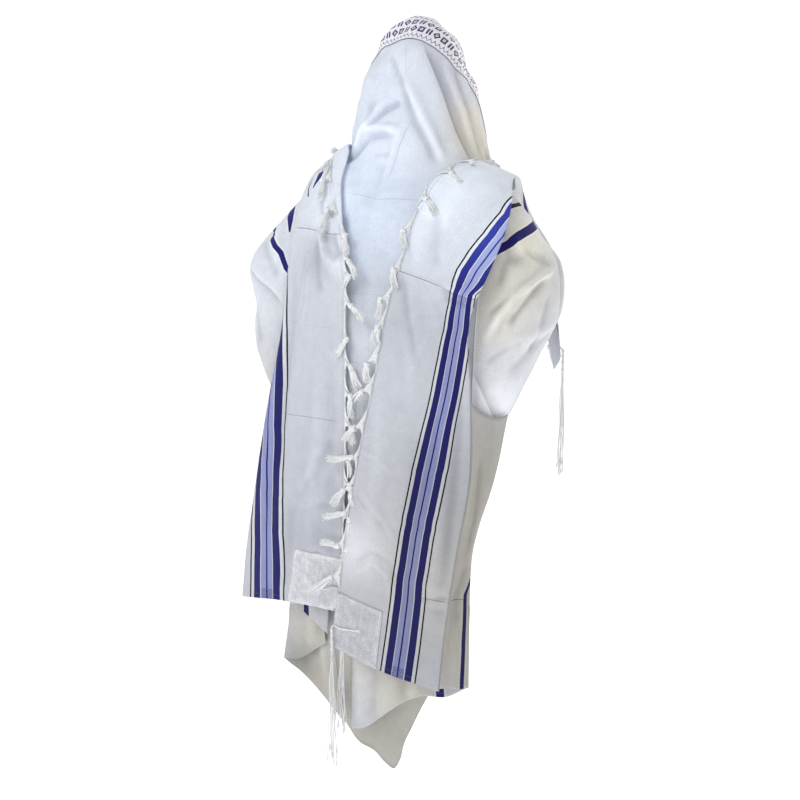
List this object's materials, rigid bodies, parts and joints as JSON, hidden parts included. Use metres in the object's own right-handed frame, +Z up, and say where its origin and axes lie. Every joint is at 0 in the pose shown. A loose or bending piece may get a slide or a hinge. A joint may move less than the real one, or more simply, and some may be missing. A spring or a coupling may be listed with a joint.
{
  "type": "tallit prayer shawl",
  "caption": "Striped white prayer shawl with knotted fringes and corner tassels, in its worn pose: drawn over the head as a hood, with both ends thrown back over the shoulders",
  "frame": {"origin": "the underside of the cloth at the crown of the head, where the wearer's head holds it up", "axes": "+Z up; the wearer faces -Y; +X is the wearer's left"},
  "size_m": [0.6277, 0.5363, 1.416],
  "materials": {
    "cloth": "fine off-white wool twill with navy and light blue woven stripes",
    "neckband": "smooth pale lilac-white satin weave with navy geometric borders",
    "patch": "white satin with raised white stitching",
    "fringe": "twisted white wool threads"
  },
  "bodies": {
    "root": {"back_panel": "cloth", "flap_left": "cloth", "flap_right": "cloth", "sleeve_left": "cloth", "sleeve_right": "cloth", "tail_right": "cloth", "under_fold_right": "cloth", "under_fold_left": "cloth", "lower_fold_left": "cloth", "neckband": "neckband", "patch_back_left": "patch", "patch_back_right": "patch", "patch_front_left": "patch", "patch_front_right": "patch", "fringe_left": "fringe", "fringe_right": "fringe", "tzitzit_back_left": "fringe", "tzitzit_back_right": "fringe", "tzitzit_front_left": "fringe", "tzitzit_front_right": "fringe"}
  },
  "joints": []
}
